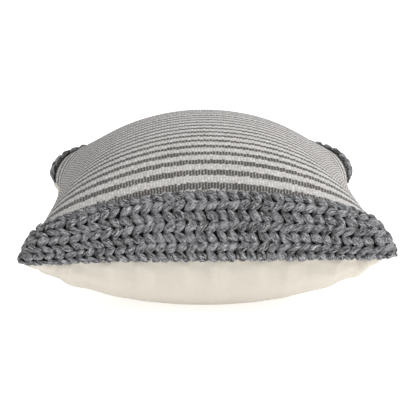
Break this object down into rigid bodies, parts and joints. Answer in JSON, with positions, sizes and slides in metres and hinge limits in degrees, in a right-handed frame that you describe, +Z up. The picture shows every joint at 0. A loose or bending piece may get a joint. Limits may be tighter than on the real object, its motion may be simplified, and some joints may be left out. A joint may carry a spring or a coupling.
{
  "type": "throw pillow",
  "caption": "Square throw pillow with a striped woven front, chunky knitted end bands, a plain cream back, a concealed zip and a stuffed insert.",
  "frame": {"origin": "on the surface the pillow lies on, under the centre of its box", "axes": "+Z up through the crown of the front face, +X to the right along the knitted bands, -Y towards the front edge; the zip is in the rear seam, at +Y"},
  "size_m": [0.444, 0.4386, 0.2155],
  "materials": {
    "woven_cloth": "flat ribbed weave in off-white with heathered grey-brown stripes",
    "knit_yarn": "chunky heather-grey knitted yarn",
    "dark_lining": "dark lining cloth behind the open knit",
    "cream_cotton": "plain cream cotton",
    "sewing_thread": "matt sewing thread",
    "white_ticking": "plain white insert casing",
    "white_fibre": "polyester fibre filling",
    "zip_tape": "woven cream tape",
    "zip_nylon": "cream nylon coil",
    "zip_metal": "satin nickel-coloured metal",
    "label_cloth": "blank white label cloth"
  },
  "bodies": {
    "cover": {"woven_front_panel": "woven_cloth", "front_knit_band": "knit_yarn", "rear_knit_band": "knit_yarn", "front_band_lining": "dark_lining", "rear_band_lining": "dark_lining", "back_panel": "cream_cotton", "front_seam_thread": "sewing_thread", "left_seam_thread": "sewing_thread", "right_seam_thread": "sewing_thread", "front_band_join_thread": "sewing_thread", "rear_band_join_thread": "sewing_thread", "insert_top_ticking": "white_ticking", "insert_bottom_ticking": "white_ticking", "insert_seam_thread": "sewing_thread", "fibre_filling": "white_fibre", "zipper_tape_upper": "zip_tape", "zipper_tape_lower": "zip_tape", "zipper_coil_upper": "zip_nylon", "zipper_coil_lower": "zip_nylon", "zipper_thread_upper": "sewing_thread", "zipper_thread_lower": "sewing_thread", "zipper_top_stop_upper": "zip_metal", "zipper_top_stop_lower": "zip_metal", "zipper_bottom_stop": "zip_metal", "care_label": "label_cloth"},
    "slider": {"zipper_slider": "zip_metal"},
    "pull_tab": {"zipper_pull_tab": "zip_metal"}
  },
  "joints": [
    {"name": "slider_travel", "type": "slide", "parent": "cover", "child": "slider", "axis": [-1, 0, 0], "range_m": [0, 0.277]},
    {"name": "tab_swing", "type": "hinge", "parent": "slider", "child": "pull_tab", "pos_m": [0.1387, 0.1957, 0.0824], "axis": [0, 0, -1], "range_deg": [0, 150]}
  ]
}
